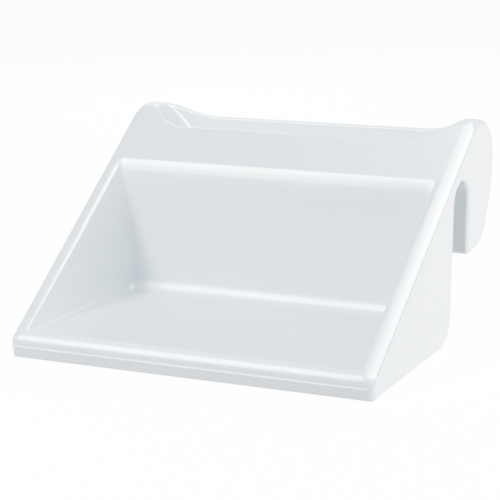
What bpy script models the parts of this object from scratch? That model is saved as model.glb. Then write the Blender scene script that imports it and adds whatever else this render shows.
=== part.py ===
"""Balcony table that hooks over a railing: a rotomoulded tray with a planter trough and two clamp screws.

All sizes are metres. In the side view y runs back from the front edge and z runs up from the underside.
The finished part is carried by an empty that puts the world origin at the rail seat, the highest point
of the slot's arch, which is where the table rests on its railing.
"""
import math

import bmesh
import bpy
import numpy as np
from mathutils import Vector

# Side view of the moulding
WIDTH = 0.600
DEPTH = 0.517
SLOPE_DEGREES = 35.3
LIP_HEIGHT = 0.032
FRONT_SETBACK = 0.004
HEAD_RADIUS = 0.074
KNEE_HEIGHT = 0.2165
KNEE_DEGREES = 24.0
FLAP_TAPER_LENGTH = 0.098
TIP_DEGREES = 5.0
SLOT_FRONT = 0.3285
SLOT_WIDTH = 0.071
SLOT_HEIGHT = 0.2455
TOE_RADIUS = 0.004
LIP_RADIUS = 0.020
KNEE_RADIUS = 0.190
CURL_RADIUS = 0.085
TIP_RADIUS = 0.009
HEEL_RADIUS = 0.042
ARCH_SHARE = 0.49
# How much of a straight side a corner's arc may take up
SIDE_SHARE = 0.48
LEAST_SIDE_SHARE = 0.05
KNEE_SIDE_SHARE = 0.95
ARCH_SIDE_SHARE = 0.495

# Mould: the parting plane behind the slope, and the draft of the sides below it
PARTING_DEPTH = 0.0092
OUTER_DRAFT_DEGREES = 2.0
RIM_EDGE_RADIUS = 0.008
FRONT_EDGE_RADIUS = 0.006
FLAP_EDGE_RADIUS = 0.0045
BACK_EDGE_RADIUS = 0.004

# Bay: the tabletop tray let into the slope
CHEEK_THICKNESS = 0.0254
CHEEK_DRAFT_DEGREES = 5.3
BAY_FRONT = 0.015
BAY_FRONT_DEGREES = 14.0
BAY_BACK = 0.306
FLOOR_HEIGHT = 0.039
BAY_LIP_RADIUS = 0.0016
BAY_TOE_RADIUS = 0.002
BAY_BACK_RADIUS = 0.012
CREST_RADIUS = 0.020
CHEEK_RIM_RADIUS = 0.007
CHEEK_FOOT_RADIUS = 0.009
LEAST_POINT_SPACING = 0.0008

# Saddle and planter trough in the head
SADDLE_HEIGHT = 0.3005
SCOOP_START = 0.195
SCOOP_RADIUS = 0.095
TROUGH_DEPTH = 0.030
TROUGH_END_START = 0.222
TROUGH_END_LENGTH = 0.044
RIM_FRONT = 0.007
RIM_REAR = 0.014
TROUGH_DRAFT = 0.003
TROUGH_FLOOR_RADIUS = 0.010
TROUGH_RIM_RADIUS = 0.003
HEAD_MARGIN = 0.001
BROW_LENGTH = 0.010
FRONT_RIM_SHARE = 0.3
REAR_RIM_SHARE = 0.4
LEAST_TROUGH_SHARE = 0.1

# Clamp screws, one each side, through the flap and parallel to the depth of the table
SCREW_SPACING = 0.360
SCREW_HEIGHT = 0.168
TRAVEL = 0.030
THREAD_RADIUS = 0.005
SPIGOT_RADIUS = 0.0032
SPIGOT_LENGTH = 0.0028
STUD_CHAMFER = 0.001
TUNNEL_RADIUS = 0.0075
INSERT_RADIUS = 0.0087
INSERT_LENGTH = 0.020
INSERT_FLANGE_RADIUS = 0.014
INSERT_FLANGE = 0.002
RECESS_RADIUS = 0.0195
RECESS_DEPTH = 0.010
FOOT_RADIUS = 0.0165
FOOT_THICKNESS = 0.0045
FOOT_CHAMFER = 0.0008
PAD_RADIUS = 0.0175
PAD_THICKNESS = 0.0035
PAD_ROUND = 0.0012
KNOB_RADIUS = 0.022
KNOB_LOBE_DEPTH = 0.0022
KNOB_LOBES = 6
KNOB_LENGTH = 0.018
KNOB_ROUND = 0.0025
KNOB_HUB_RADIUS = 0.010
KNOB_HUB_LENGTH = 0.006
KNOB_BORE_DEPTH = 0.014
KNOB_CLEARANCE = 0.002

# Vent plug in the underside
VENT_SETBACK = 0.140
VENT_RADIUS = 0.006
VENT_DEPTH = 0.012
VENT_RECESS_RADIUS = 0.013
VENT_RECESS_DEPTH = 0.003
PLUG_FLANGE_RADIUS = 0.0118
PLUG_FLANGE = 0.0022
PLUG_CHAMFER = 0.0006

# Gaps and overruns
GAP = 0.0003
MERGE_DISTANCE = 0.00003
OVERRUN = 0.010

# How finely curves are cut into facets
CORNER_STEPS = 7
TOE_STEPS = 2
BAY_LIP_STEPS = 2
BAY_BACK_STEPS = 4
CREST_STEPS = 6
TROUGH_EDGE_STEPS = 2
TROUGH_STEPS = 3
EDGE_STEPS = 4
CHEEK_RIM_STEPS = 4
CHEEK_FOOT_STEPS = 4
FLOOR_RINGS = 4
FLOOR_RING_SPACING = 0.008
BROW_STEPS = 4
BACK_STEPS = 7
ROUND_STEPS = 32
PAD_ROUND_STEPS = 3
KNOB_LOBE_STEPS = 10
KNOB_EDGE_STEPS = 2
FLAT_FACET_DEGREES = 0.2
SHARP_EDGE_DEGREES = 35.0

SLOPE = math.radians(SLOPE_DEGREES)
SLOPE_OUT = np.array([-math.sin(SLOPE), math.cos(SLOPE)])
SLOPE_ALONG = np.array([math.cos(SLOPE), math.sin(SLOPE)])
HALF_WIDTH = WIDTH / 2
SLOT_REAR = SLOT_FRONT + SLOT_WIDTH
CREASE_HEIGHT = LIP_HEIGHT - PARTING_DEPTH / math.cos(SLOPE)
HEAD_Y = DEPTH - HEAD_RADIUS
HEAD_Z = LIP_HEIGHT + HEAD_Y * math.tan(SLOPE) - HEAD_RADIUS / math.cos(SLOPE)
HEIGHT = HEAD_Z + HEAD_RADIUS


def clear_scene():
    for obj in list(bpy.data.objects):
        bpy.data.objects.remove(obj, do_unlink=True)
    for collection in list(bpy.data.collections):
        bpy.data.collections.remove(collection)


def make_collection(name):
    collection = bpy.data.collections.new(name)
    bpy.context.scene.collection.children.link(collection)
    return collection


def make_material(name, colour, roughness, metallic=0.0):
    material = bpy.data.materials.new(name)
    material.use_nodes = True
    shader = material.node_tree.nodes["Principled BSDF"]
    shader.inputs["Base Color"].default_value = (*colour, 1.0)
    shader.inputs["Roughness"].default_value = roughness
    shader.inputs["Metallic"].default_value = metallic
    material.diffuse_color = (*colour, 1.0)
    return material


def smoothstep(value):
    share = min(max(value, 0.0), 1.0)
    return share * share * (3.0 - 2.0 * share)


def slope_height(y):
    """Height of the slanted plane at a distance from the front edge."""
    return LIP_HEIGHT + y * math.tan(SLOPE)


def depth_below_slope(y, z):
    """Distance of a side-view point below the slanted plane, square to it."""
    return math.sin(SLOPE) * y - math.cos(SLOPE) * (z - LIP_HEIGHT)


# Side view: a polygon whose corners are rounded by exact arcs

def corner_arc(before, corner, after, radius, steps, share_before=SIDE_SHARE, share_after=SIDE_SHARE):
    """Points of the arc that rounds a corner, written as a conic so that a straight corner works too."""
    back = before - corner
    ahead = after - corner
    length_back = np.linalg.norm(back)
    length_ahead = np.linalg.norm(ahead)
    cosine = float(np.dot(back, ahead)) / (length_back * length_ahead)
    half_angle = math.acos(min(max(cosine, -1.0), 1.0)) / 2
    weight = math.sin(half_angle)
    least = LEAST_SIDE_SHARE * min(length_back, length_ahead)
    reach = max(radius / math.tan(half_angle), least)
    reach = min(reach, share_before * length_back, share_after * length_ahead)
    start = corner + back / length_back * reach
    end = corner + ahead / length_ahead * reach
    points = []
    for step in range(steps + 1):
        u = step / steps
        a, b, c = (1 - u) ** 2, 2 * u * (1 - u) * weight, u ** 2
        points.append((a * start + b * corner + c * end) / (a + b + c))
    return points


def outline_corners():
    """Corners of the side view in order: up the front, back over the head, round the flap and slot."""
    knee_lean = math.radians(KNEE_DEGREES)
    curl_y = DEPTH - FLAP_TAPER_LENGTH * math.sin(knee_lean)
    curl_z = KNEE_HEIGHT - FLAP_TAPER_LENGTH * math.cos(knee_lean)
    tip_z = curl_z - (curl_y - SLOT_REAR) * math.tan(math.radians(TIP_DEGREES))
    return {
        "toe": (FRONT_SETBACK, 0.0),
        "crease": (0.0, CREASE_HEIGHT),
        "lip": (0.0, LIP_HEIGHT),
        "head": (DEPTH, slope_height(DEPTH)),
        "knee": (DEPTH, KNEE_HEIGHT),
        "curl": (curl_y, curl_z),
        "tip": (SLOT_REAR, tip_z),
        "slot_rear": (SLOT_REAR, SLOT_HEIGHT),
        "slot_front": (SLOT_FRONT, SLOT_HEIGHT),
        "heel": (SLOT_FRONT, 0.0),
    }


FRONT_NAMES = ["toe", "crease", "lip"]
REAR_NAMES = ["knee", "curl", "tip", "slot_rear", "slot_front", "heel"]
CORNER_NAMES = FRONT_NAMES + ["head"] + REAR_NAMES
CORNER_RADII = {
    "toe": TOE_RADIUS, "crease": 0.0, "lip": LIP_RADIUS, "knee": KNEE_RADIUS, "curl": CURL_RADIUS,
    "tip": TIP_RADIUS, "slot_rear": ARCH_SHARE * SLOT_WIDTH, "slot_front": ARCH_SHARE * SLOT_WIDTH,
    "heel": HEEL_RADIUS,
}
# The rounding between the side view and the cheeks' outer faces, for the stretch after each corner
EDGE_RADII = {
    "toe": FRONT_EDGE_RADIUS, "crease": FRONT_EDGE_RADIUS, "lip": RIM_EDGE_RADIUS, "head": RIM_EDGE_RADIUS,
    "knee": FLAP_EDGE_RADIUS, "curl": FLAP_EDGE_RADIUS, "tip": FLAP_EDGE_RADIUS,
    "slot_rear": FLAP_EDGE_RADIUS, "slot_front": BACK_EDGE_RADIUS, "heel": BACK_EDGE_RADIUS,
}


def inset_corners(insets):
    """The side view's corners with each stretch moved into the material by its own inset."""
    corners = outline_corners()
    points = [np.array(corners[name]) for name in CORNER_NAMES]
    lines = []
    for index, name in enumerate(CORNER_NAMES):
        start = points[index]
        direction = points[(index + 1) % len(points)] - start
        direction = direction / np.linalg.norm(direction)
        inward = np.array([direction[1], -direction[0]])
        lines.append((start + inward * insets[name], direction))
    moved = {}
    for index, name in enumerate(CORNER_NAMES):
        a, u = lines[index - 1]
        b, v = lines[index]
        turn = u[0] * v[1] - u[1] * v[0]
        along = ((b[0] - a[0]) * v[1] - (b[1] - a[1]) * v[0]) / turn
        moved[name] = a + u * along
    return moved


def outline_arcs(insets):
    """The rounded corners of the side view, as lists of points, keyed by corner."""
    corners = inset_corners(insets)
    head_back = np.array([corners["knee"][0], HEAD_Z])
    arcs = {}
    for index, name in enumerate(CORNER_NAMES):
        if name == "head":
            continue
        if name == "crease":
            arcs[name] = [corners[name]]
            continue
        before_name = CORNER_NAMES[index - 1]
        after_name = CORNER_NAMES[(index + 1) % len(CORNER_NAMES)]
        before, corner, after = corners[before_name], corners[name], corners[after_name]
        inset = (insets[before_name] + insets[name]) / 2
        concave = name in ("slot_rear", "slot_front")
        radius = CORNER_RADII[name] + inset if concave else max(CORNER_RADII[name] - inset, GAP)
        steps = TOE_STEPS if name == "toe" else CORNER_STEPS
        if name == "knee":
            arcs[name] = corner_arc(head_back, corner, after, radius, steps, KNEE_SIDE_SHARE)
        elif concave:
            arcs[name] = corner_arc(before, corner, after, radius, steps, ARCH_SIDE_SHARE, ARCH_SIDE_SHARE)
        else:
            arcs[name] = corner_arc(before, corner, after, radius, steps)
    return arcs


# Bay: its path in the middle of the table, and the same points carried up to the slope for the cheeks

def bay_path():
    """Points from the front rim down to the floor, back, and up the back wall to the crest."""
    length = BAY_BACK - BAY_FRONT
    rim = np.array([BAY_FRONT, slope_height(BAY_FRONT)])
    lean = (rim[1] - FLOOR_HEIGHT) * math.tan(math.radians(BAY_FRONT_DEGREES))
    toe = np.array([BAY_FRONT + lean, FLOOR_HEIGHT])
    heel = np.array([BAY_BACK, FLOOR_HEIGHT])
    crest = np.array([BAY_BACK, slope_height(BAY_BACK)])
    path = corner_arc(rim - SLOPE_ALONG * length, rim, toe, BAY_LIP_RADIUS, BAY_LIP_STEPS)
    path += corner_arc(rim, toe, heel, BAY_TOE_RADIUS, BAY_LIP_STEPS)
    path += corner_arc(toe, heel, crest, BAY_BACK_RADIUS, BAY_BACK_STEPS)
    path += corner_arc(heel, crest, crest + SLOPE_ALONG * length, CREST_RADIUS, CREST_STEPS)
    return path


def bay_lines():
    """For each point of the bay's path: its place on the slope, the point, and its depth below it."""
    lines = []
    last_along = -math.inf
    for point in bay_path():
        depth = max(depth_below_slope(*point), 0.0)
        top = point + SLOPE_OUT * depth
        along = float(np.dot(top, SLOPE_ALONG))
        kept_along = max(along, last_along + LEAST_POINT_SPACING)
        lines.append((top + SLOPE_ALONG * (kept_along - along), point, depth))
        last_along = kept_along
    return lines


# Trough: the head is lowered to a saddle, with a hollow between a front and a rear rim

def head_point(radius, angle):
    return np.array([HEAD_Y + radius * math.cos(angle), HEAD_Z + radius * math.sin(angle)])


def brow_point(along, inset):
    """A point of the slope and the head's front arc, by its distance past the place where they meet."""
    radius = HEAD_RADIUS - inset
    meeting_angle = math.pi / 2 + SLOPE
    if along > 0:
        return head_point(radius, meeting_angle - along / radius)
    return head_point(radius, meeting_angle) + along * SLOPE_ALONG


def brow_distance(z, inset):
    """Where the slope and the head's front arc reach a height, as a distance past their meeting."""
    radius = HEAD_RADIUS - inset
    meeting_z = HEAD_Z + radius * math.cos(SLOPE)
    if z <= meeting_z:
        return (z - meeting_z) / math.sin(SLOPE)
    return radius * (SLOPE - math.acos((z - HEAD_Z) / radius))


def rim_height(x, inset):
    """Height of the trough's rims at x: flat in the middle, swept up in an arc at both ends."""
    beyond = min(max(abs(x) - SCOOP_START, 0.0), SCOOP_RADIUS)
    swept = SADDLE_HEIGHT + SCOOP_RADIUS - math.sqrt(SCOOP_RADIUS ** 2 - beyond ** 2)
    return min(swept, HEIGHT - HEAD_MARGIN) - inset


def head_path(x, inset):
    """Points over the head at x: its brow, the front rim, the trough, the rear rim and the head's back."""
    rim_z = rim_height(x, inset)
    radius = HEAD_RADIUS - inset
    rim_along = brow_distance(rim_z, inset)
    brow_start = min(0.0, rim_along - BROW_LENGTH)
    brow = [
        brow_point(brow_start + (rim_along - brow_start) * step / BROW_STEPS, inset)
        for step in range(BROW_STEPS)
    ]
    outer_front = brow_point(rim_along, inset)
    outer_rear = np.array([HEAD_Y + math.sqrt(radius ** 2 - (rim_z - HEAD_Z) ** 2), rim_z])
    span = outer_rear[0] - outer_front[0]
    open_share = 1.0 - smoothstep((abs(x) - TROUGH_END_START) / TROUGH_END_LENGTH)
    floor = rim_z - TROUGH_DEPTH * open_share
    draft = min(TROUGH_DRAFT, LEAST_TROUGH_SHARE * span)
    inner_front = np.array([outer_front[0] + min(RIM_FRONT, FRONT_RIM_SHARE * span), rim_z])
    inner_rear = np.array([outer_rear[0] - min(RIM_REAR, REAR_RIM_SHARE * span), rim_z])
    floor_front = np.array([inner_front[0] + draft, floor])
    floor_rear = np.array([inner_rear[0] - draft, floor])
    angle = math.atan2(rim_z - HEAD_Z, outer_rear[0] - HEAD_Y)
    back = [head_point(radius, angle * (1 - step / BACK_STEPS)) for step in range(1, BACK_STEPS + 1)]
    path = corner_arc(brow[-1], outer_front, inner_front, TROUGH_RIM_RADIUS, TROUGH_EDGE_STEPS)
    path += corner_arc(outer_front, inner_front, floor_front, TROUGH_RIM_RADIUS, TROUGH_STEPS)
    path += corner_arc(inner_front, floor_front, floor_rear, TROUGH_FLOOR_RADIUS, TROUGH_STEPS)
    path += corner_arc(floor_front, floor_rear, inner_rear, TROUGH_FLOOR_RADIUS, TROUGH_STEPS)
    path += corner_arc(floor_rear, inner_rear, outer_rear, TROUGH_RIM_RADIUS, TROUGH_STEPS)
    path += corner_arc(inner_rear, outer_rear, back[0], TROUGH_RIM_RADIUS, TROUGH_EDGE_STEPS)
    if rim_z == HEIGHT - HEAD_MARGIN - inset:
        path = [np.array([y, HEAD_Z + math.sqrt(radius ** 2 - (y - HEAD_Y) ** 2)]) for y, z in path]
    return brow + path + back


# Loft: one closed ring of points for each station across the width

def blend_radii(name, radii, count):
    """The edge radius along a corner's arc, from the stretch before it to the stretch after it."""
    before = radii[CORNER_NAMES[CORNER_NAMES.index(name) - 1]]
    after = radii[name]
    return [before + (after - before) * step / max(count - 1, 1) for step in range(count)]


def edge_ring(turn):
    """A ring of the rounding beside a cheek's outer face, for a turn between nothing and a quarter."""
    outward = 1 - math.cos(turn)
    insets = {name: EDGE_RADII[name] * (1 - math.sin(turn)) for name in CORNER_NAMES}
    corners = {}
    for name, arc in outline_arcs(insets).items():
        radii = blend_radii(name, EDGE_RADII, len(arc))
        corners[name] = [(HALF_WIDTH - radius * outward, *point) for point, radius in zip(arc, radii)]
    rim_x = HALF_WIDTH - RIM_EDGE_RADIUS * outward
    ring = []
    for name in FRONT_NAMES:
        ring += corners[name]
    ring += [(rim_x, *(line[0] - SLOPE_OUT * insets["lip"])) for line in bay_lines()]
    ring += [(rim_x, *point) for point in head_path(HALF_WIDTH, insets["head"])]
    for name in REAR_NAMES:
        ring += corners[name]
    return ring


def cheek_stations(depth):
    """Where the rings cross a cheek's inner face of some depth: rounded rim, drafted wall, rounded foot."""
    edge = HALF_WIDTH - CHEEK_THICKNESS
    draft = math.tan(math.radians(CHEEK_DRAFT_DEGREES))
    rim_drop = min(CHEEK_RIM_RADIUS, depth / 2)
    foot_rise = min(CHEEK_FOOT_RADIUS, depth / 2)
    stations = []
    for step in range(CHEEK_RIM_STEPS + 1):
        turn = math.pi / 2 * step / CHEEK_RIM_STEPS
        drop = rim_drop * (1 - math.cos(turn))
        stations.append((edge + CHEEK_RIM_RADIUS * (1 - math.sin(turn)) - draft * drop, drop))
    foot_edge = edge - draft * (depth - foot_rise) - GAP
    for step in range(CHEEK_FOOT_STEPS + 1):
        turn = math.pi / 2 * step / CHEEK_FOOT_STEPS
        x = foot_edge - CHEEK_FOOT_RADIUS * (1 - math.cos(turn))
        stations.append((x, depth - foot_rise * (1 - math.sin(turn))))
    for step in range(1, FLOOR_RINGS + 1):
        stations.append((foot_edge - CHEEK_FOOT_RADIUS - FLOOR_RING_SPACING * step, depth))
    return stations


def inner_rings():
    """Rings inside the edge rounding, from a cheek to the middle stretch of the table."""
    arcs = outline_arcs({name: 0.0 for name in CORNER_NAMES})
    flat = cheek_stations(0.0)
    outermost = HALF_WIDTH - RIM_EDGE_RADIUS - FLOOR_RING_SPACING / 2
    innermost = SCOOP_START - FLOOR_RING_SPACING / 2
    bay = bay_lines()
    rings = []
    for index, (flat_x, _) in enumerate(flat):
        head_x = outermost + (innermost - outermost) * index / (len(flat) - 1)
        ring = []
        for name in FRONT_NAMES:
            ring += [(flat_x, *point) for point in arcs[name]]
        for top, point, depth in bay:
            x, drop = cheek_stations(depth)[index]
            share_down = drop / depth if depth > 0 else 1.0
            ring.append((x, *(top + (point - top) * share_down)))
        ring += [(head_x, *point) for point in head_path(head_x, 0.0)]
        for name in REAR_NAMES:
            ring += [(head_x, *point) for point in arcs[name]]
        rings.append(ring)
    return rings


def taper(x, y, z):
    """The moulding narrows behind the parting plane, so that it leaves its mould."""
    below = max(depth_below_slope(y, z) - PARTING_DEPTH, 0.0)
    return x * (1 - math.tan(math.radians(OUTER_DRAFT_DEGREES)) * below / HALF_WIDTH)


def moulding_mesh(name):
    """The moulded form as one closed mesh: rings bridged from one cheek to the other."""
    half = [edge_ring(math.pi / 2 * step / EDGE_STEPS) for step in range(EDGE_STEPS + 1)]
    half += inner_rings()
    mirrored = [[(-x, y, z) for x, y, z in ring] for ring in half]
    rings = half + mirrored[::-1]
    bm = bmesh.new()
    columns = [[bm.verts.new(point) for point in ring] for ring in rings]
    for left, right in zip(columns, columns[1:]):
        for index in range(len(left)):
            following = (index + 1) % len(left)
            bm.faces.new((left[index], left[following], right[following], right[index]))
    caps = [bm.faces.new(columns[0]), bm.faces.new(columns[-1])]
    parting = Vector((0.0, 0.0, CREASE_HEIGHT))
    slope_out = Vector((0.0, *SLOPE_OUT))
    split = list(dict.fromkeys(element for cap in caps for element in (cap, *cap.edges, *cap.verts)))
    bmesh.ops.bisect_plane(bm, geom=split, plane_co=parting, plane_no=slope_out, dist=MERGE_DISTANCE)
    for vert in bm.verts:
        vert.co.x = taper(*vert.co)
    bmesh.ops.recalc_face_normals(bm, faces=bm.faces)
    mesh = bpy.data.meshes.new(name)
    bm.to_mesh(mesh)
    bm.free()
    return mesh


# Small helpers for objects, cutters and turned pieces

def add_object(name, mesh, collection, parent=None, material=None):
    obj = bpy.data.objects.new(name, mesh)
    collection.objects.link(obj)
    obj.parent = parent
    if material:
        obj.data.materials.append(material)
    return obj


def add_empty(name, location, collection, parent=None, rotation=(0.0, 0.0, 0.0)):
    empty = bpy.data.objects.new(name, None)
    collection.objects.link(empty)
    empty.parent = parent
    empty.location = location
    empty.rotation_euler = rotation
    return empty


def round_bar(name, radius, low, high, collection, parent):
    """A plain cylinder along its parent's z axis, used as a cutter."""
    bm = bmesh.new()
    bmesh.ops.create_cone(
        bm, cap_ends=True, segments=ROUND_STEPS, radius1=radius, radius2=radius, depth=high - low
    )
    bmesh.ops.translate(bm, verts=bm.verts, vec=(0.0, 0.0, (high + low) / 2))
    mesh = bpy.data.meshes.new(name)
    bm.to_mesh(mesh)
    bm.free()
    cutter = add_object(name, mesh, collection, parent)
    cutter.hide_render = True
    cutter.display_type = "WIRE"
    return cutter


def add_boolean(obj, name, operation, cutter):
    boolean = obj.modifiers.new(name, "BOOLEAN")
    boolean.operation = operation
    boolean.solver = "EXACT"
    boolean.object = cutter


def shade(obj):
    """Makes the modifiers' result the object's own mesh, smooth but for its real edges."""
    graph = bpy.context.evaluated_depsgraph_get()
    mesh = bpy.data.meshes.new_from_object(obj.evaluated_get(graph))
    mesh.name = obj.name
    obj.modifiers.clear()
    obj.data = mesh
    mesh.shade_smooth()
    mesh.set_sharp_from_angle(angle=math.radians(SHARP_EDGE_DEGREES))


def turned(name, profile, collection, parent, material):
    """A turned piece about its parent's z axis, from a profile of (radius, height) pairs."""
    mesh = bpy.data.meshes.new(name)
    is_loop = profile[0] == profile[-1]
    points = [(radius, 0.0, height) for radius, height in (profile[:-1] if is_loop else profile)]
    count = len(points)
    edges = [(index, (index + 1) % count) for index in range(count if is_loop else count - 1)]
    mesh.from_pydata(points, edges, [])
    obj = add_object(name, mesh, collection, parent, material)
    screw = obj.modifiers.new("turn", "SCREW")
    screw.axis = "Z"
    screw.angle = 2 * math.pi
    screw.steps = ROUND_STEPS
    screw.render_steps = ROUND_STEPS
    screw.use_merge_vertices = True
    screw.merge_threshold = MERGE_DISTANCE
    return obj


# Pieces

def build_table_body(parent, axes, vent_axis, collection, cutters, material):
    """The moulding with its bores. It is solid inside: nothing opens the real one's closed hollow."""
    body = add_object("table_body", moulding_mesh("table_body"), collection, parent, material)
    flap = DEPTH - SLOT_REAR
    bores = []
    for side, axis in axes.items():
        bores += [
            round_bar("recess_" + side, RECESS_RADIUS, -RECESS_DEPTH, OVERRUN, cutters, axis),
            round_bar("insert_bore_" + side, INSERT_RADIUS + GAP, insert_end() - GAP, OVERRUN, cutters, axis),
            round_bar("tunnel_" + side, TUNNEL_RADIUS, -flap - OVERRUN, OVERRUN, cutters, axis),
        ]
    bores += [
        round_bar("vent_recess", VENT_RECESS_RADIUS, -OVERRUN, VENT_RECESS_DEPTH, cutters, vent_axis),
        round_bar("vent_hole", VENT_RADIUS, -OVERRUN, VENT_DEPTH, cutters, vent_axis),
    ]
    for bore in bores:
        add_boolean(body, bore.name, "DIFFERENCE", bore)
    flatten = body.modifiers.new("merge flat facets", "DECIMATE")
    flatten.decimate_type = "DISSOLVE"
    flatten.angle_limit = math.radians(FLAT_FACET_DEGREES)
    return body


def insert_end():
    return -RECESS_DEPTH + GAP - INSERT_LENGTH


def foot_back():
    """Back face of the swivel foot at rest, just clear of the insert's flange."""
    return -RECESS_DEPTH + GAP + INSERT_FLANGE + GAP


def knob_face():
    """Inner face of the knob's hub at rest: clear of the flap when the screw is fully in."""
    upper = SCREW_HEIGHT + KNOB_RADIUS
    lean = math.tan(math.radians(KNEE_DEGREES))
    flap_back = DEPTH - max(KNEE_HEIGHT - upper, 0.0) * lean
    return -(flap_back - SLOT_REAR) - KNOB_CLEARANCE - TRAVEL + KNOB_HUB_LENGTH


def stud_end():
    return knob_face() - KNOB_BORE_DEPTH + GAP


def build_insert(side, axis, collection, material):
    low = insert_end()
    face = -RECESS_DEPTH + GAP
    top = face + INSERT_FLANGE
    bore = THREAD_RADIUS + GAP
    profile = [
        (bore, low), (bore, top), (INSERT_FLANGE_RADIUS, top), (INSERT_FLANGE_RADIUS, face),
        (INSERT_RADIUS, face), (INSERT_RADIUS, low), (bore, low),
    ]
    return turned("thread_insert_" + side, profile, collection, axis, material)


def build_stud(side, axis, collection, material):
    shoulder = foot_back() - GAP
    tip = foot_back() + SPIGOT_LENGTH - GAP
    low = stud_end()
    profile = [
        (0.0, tip), (SPIGOT_RADIUS - STUD_CHAMFER / 2, tip), (SPIGOT_RADIUS, tip - STUD_CHAMFER / 2),
        (SPIGOT_RADIUS, shoulder), (THREAD_RADIUS - STUD_CHAMFER, shoulder),
        (THREAD_RADIUS, shoulder - STUD_CHAMFER), (THREAD_RADIUS, low), (0.0, low),
    ]
    return turned("clamp_stud_" + side, profile, collection, axis, material)


def build_foot(side, axis, collection, material):
    low = foot_back()
    high = low + FOOT_THICKNESS
    socket = SPIGOT_RADIUS + GAP
    profile = [
        (0.0, high), (FOOT_RADIUS - FOOT_CHAMFER, high), (FOOT_RADIUS, high - FOOT_CHAMFER),
        (FOOT_RADIUS, low + FOOT_CHAMFER), (FOOT_RADIUS - FOOT_CHAMFER, low), (socket, low),
        (socket, low + SPIGOT_LENGTH), (0.0, low + SPIGOT_LENGTH),
    ]
    return turned("swivel_foot_" + side, profile, collection, axis, material)


def build_pad(side, axis, collection, material):
    low = foot_back() + FOOT_THICKNESS + GAP
    high = low + PAD_THICKNESS
    profile = [(0.0, high)]
    for step in range(PAD_ROUND_STEPS + 1):
        turn = math.pi / 2 * step / PAD_ROUND_STEPS
        radius = PAD_RADIUS - PAD_ROUND * (1 - math.sin(turn))
        profile.append((radius, high - PAD_ROUND * (1 - math.cos(turn))))
    profile += [(PAD_RADIUS, low), (0.0, low)]
    return turned("rail_pad_" + side, profile, collection, axis, material)


def build_knob(side, axis, collection, cutters, material):
    """A lobed grip on a round hub, blind-bored for the stud."""
    name = "hand_knob_" + side
    hub_face = knob_face()
    grip_face = hub_face - KNOB_HUB_LENGTH
    bm = bmesh.new()
    count = KNOB_LOBES * KNOB_LOBE_STEPS
    outline = []
    for index in range(count):
        angle = 2 * math.pi * index / count
        radius = KNOB_RADIUS - KNOB_LOBE_DEPTH * (1 + math.cos(KNOB_LOBES * angle)) / 2
        place = (radius * math.cos(angle), radius * math.sin(angle), grip_face - KNOB_LENGTH)
        outline.append(bm.verts.new(place))
    base = bm.faces.new(outline)
    grown = bmesh.ops.extrude_face_region(bm, geom=[base])
    top = [element for element in grown["geom"] if isinstance(element, bmesh.types.BMVert)]
    bmesh.ops.translate(bm, verts=top, vec=(0.0, 0.0, KNOB_LENGTH))
    bmesh.ops.recalc_face_normals(bm, faces=bm.faces)
    rims = [edge for edge in bm.edges if abs(edge.verts[0].co.z - edge.verts[1].co.z) < GAP]
    bmesh.ops.bevel(
        bm, geom=rims, offset=KNOB_ROUND, offset_type="OFFSET", segments=KNOB_EDGE_STEPS, profile=0.5,
        affect="EDGES", material=-1,
    )
    mesh = bpy.data.meshes.new(name)
    bm.to_mesh(mesh)
    bm.free()
    knob = add_object(name, mesh, collection, axis, material)
    hub = round_bar("hub_" + side, KNOB_HUB_RADIUS, grip_face - KNOB_ROUND, hub_face, cutters, axis)
    bore_end = hub_face - KNOB_BORE_DEPTH
    bore = round_bar("knob_bore_" + side, THREAD_RADIUS + GAP, bore_end, hub_face + OVERRUN, cutters, axis)
    add_boolean(knob, "hub", "UNION", hub)
    add_boolean(knob, "stud bore", "DIFFERENCE", bore)
    return knob


def build_vent_plug(vent_axis, collection, material):
    """A plug pressed into the vent hole, its flange below flush in the recess."""
    flange_top = VENT_RECESS_DEPTH - GAP
    flange_low = flange_top - PLUG_FLANGE
    tip = VENT_DEPTH - GAP
    shank = VENT_RADIUS - GAP
    profile = [
        (0.0, tip), (shank - PLUG_CHAMFER, tip), (shank, tip - PLUG_CHAMFER), (shank, flange_top),
        (PLUG_FLANGE_RADIUS, flange_top), (PLUG_FLANGE_RADIUS, flange_low + PLUG_CHAMFER),
        (PLUG_FLANGE_RADIUS - PLUG_CHAMFER, flange_low), (0.0, flange_low),
    ]
    return turned("vent_plug", profile, collection, vent_axis, material)


def main():
    clear_scene()
    table = make_collection("balcony_table")
    cutters = make_collection("cutters")
    shell = make_material("moulded_polyethylene", (0.83, 0.86, 0.87), 0.42)
    brass = make_material("brass", (0.72, 0.56, 0.28), 0.35, 1.0)
    steel = make_material("zinc_plated_steel", (0.62, 0.63, 0.65), 0.3, 1.0)
    grip = make_material("grip_plastic", (0.50, 0.53, 0.55), 0.45)
    rubber = make_material("pad_rubber", (0.10, 0.10, 0.11), 0.8)
    seat = (0.0, -(SLOT_FRONT + SLOT_REAR) / 2, -SLOT_HEIGHT)
    datum = add_empty("front_edge_datum", seat, table)
    facing_rail = (math.pi / 2, 0.0, 0.0)
    axes = {}
    for side, sign in (("left", -1), ("right", 1)):
        place = (sign * SCREW_SPACING / 2, SLOT_REAR, SCREW_HEIGHT)
        axes[side] = add_empty("clamp_axis_" + side, place, table, datum, facing_rail)
    vent_axis = add_empty("vent_axis", (0.0, VENT_SETBACK, 0.0), table, datum)
    build_table_body(datum, axes, vent_axis, table, cutters, shell)
    for side, axis in axes.items():
        build_insert(side, axis, table, brass)
        build_stud(side, axis, table, steel)
        build_foot(side, axis, table, grip)
        build_pad(side, axis, table, rubber)
        build_knob(side, axis, table, cutters, grip)
    build_vent_plug(vent_axis, table, grip)
    for obj in table.objects:
        if obj.type == "MESH":
            shade(obj)
    print("height", round(HEIGHT, 4), "slot", round(SLOT_WIDTH, 4), "knob face", round(knob_face(), 4))


main()
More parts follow.
